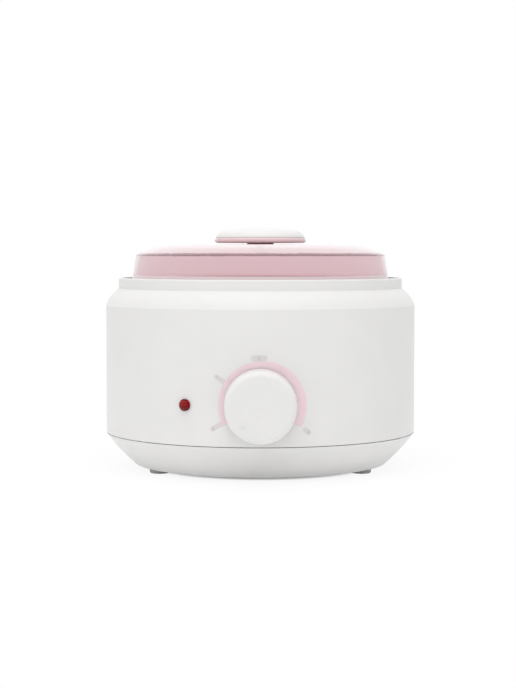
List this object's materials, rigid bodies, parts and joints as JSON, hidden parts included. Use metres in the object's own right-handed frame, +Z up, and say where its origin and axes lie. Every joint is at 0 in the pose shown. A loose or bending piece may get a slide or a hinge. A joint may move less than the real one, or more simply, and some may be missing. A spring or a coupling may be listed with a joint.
{
  "type": "wax heater",
  "caption": "Round tabletop wax heater with a lift-out pot and wire bail, a clear tinted lid with a disc grip, a front control knob and an indicator lens.",
  "frame": {"origin": "on the body's vertical axis, in the plane of the feet's undersides", "axes": "+Z up, -Y towards the front with the control knob, +X to the viewer's right"},
  "size_m": [0.185, 0.2047, 0.1435],
  "materials": {
    "blue_lead": "silicone-covered wire",
    "brass": "turned brass",
    "brown_lead": "silicone-covered wire",
    "copper": "drawn copper",
    "dark_plastic": "heat-resistant moulding",
    "dark_rubber": "matt rubber",
    "felt": "glass-fibre felt",
    "lamp_glass": "small glass lamp",
    "mica_band": "mica and steel heater",
    "pale_plastic": "nylon",
    "pink_grip": "pink plastic",
    "pink_lid": "clear pink-tinted plastic",
    "pot_aluminium": "spun, satin",
    "red_lens": "clear red plastic",
    "silicone": "matt silicone",
    "steel_wire": "bright steel wire",
    "well_aluminium": "pressed, plain",
    "white_knob": "satin moulded ABS",
    "white_shell": "satin moulded ABS",
    "zinc_steel": "zinc plated"
  },
  "bodies": {
    "housing": {"upper_housing": "white_shell", "base_cup": "white_shell", "foot_front_left": "dark_rubber", "foot_front_right": "dark_rubber", "foot_back": "dark_rubber", "base_screws": "zinc_steel", "heating_chamber": "well_aluminium", "chamber_gasket": "silicone", "heater_band": "mica_band", "band_clamp": "zinc_steel", "clamp_screw": "zinc_steel", "clamp_nut": "zinc_steel", "insulation_sleeve": "felt", "chamber_bracket_right": "zinc_steel", "chamber_bracket_left": "zinc_steel", "chamber_bracket_front": "zinc_steel", "bracket_screws": "zinc_steel", "thermostat_body": "dark_plastic", "thermostat_nut": "zinc_steel", "thermostat_tabs": "brass", "sensor_bulb": "copper", "capillary_tube": "copper", "bulb_clip": "zinc_steel", "thermal_fuse": "pale_plastic", "fuse_clip": "zinc_steel", "indicator_lens": "red_lens", "indicator_lamp": "lamp_glass", "lens_retainer": "zinc_steel", "cord_gland": "dark_plastic", "gland_nut": "dark_plastic", "terminal_block": "pale_plastic", "terminal_screws": "brass", "block_screw": "zinc_steel", "lead_supply": "brown_lead", "lead_neutral": "blue_lead", "lead_heater_neutral": "blue_lead", "lead_heater_live": "brown_lead"},
    "control": {"control_knob": "white_knob", "knob_spring_clip": "zinc_steel", "thermostat_shaft": "brass"},
    "pot": {"inner_pot": "pot_aluminium", "bail_lug_left": "zinc_steel", "bail_lug_right": "zinc_steel"},
    "bail": {"bail_handle": "steel_wire"},
    "lid": {"lid_shell": "pink_lid", "lid_knob": "pink_grip", "lid_knob_cap": "white_knob", "lid_knob_screw": "zinc_steel", "lid_screw_washer": "zinc_steel"}
  },
  "joints": [
    {"name": "knob_turn", "type": "hinge", "parent": "housing", "child": "control", "pos_m": [0, -0.1, 0.045], "axis": [0, 1, 0], "range_deg": [0, 258]},
    {"name": "pot_lift", "type": "slide", "parent": "housing", "child": "pot", "axis": [0, 0, 1], "range_m": [0, 0.08]},
    {"name": "lid_lift", "type": "slide", "parent": "pot", "child": "lid", "axis": [0, 0, 1], "range_m": [0, 0.06]},
    {"name": "bail_swing", "type": "hinge", "parent": "pot", "child": "bail", "pos_m": [0, 0, 0.111], "axis": [1, 0, 0], "range_deg": [0, 180]}
  ]
}
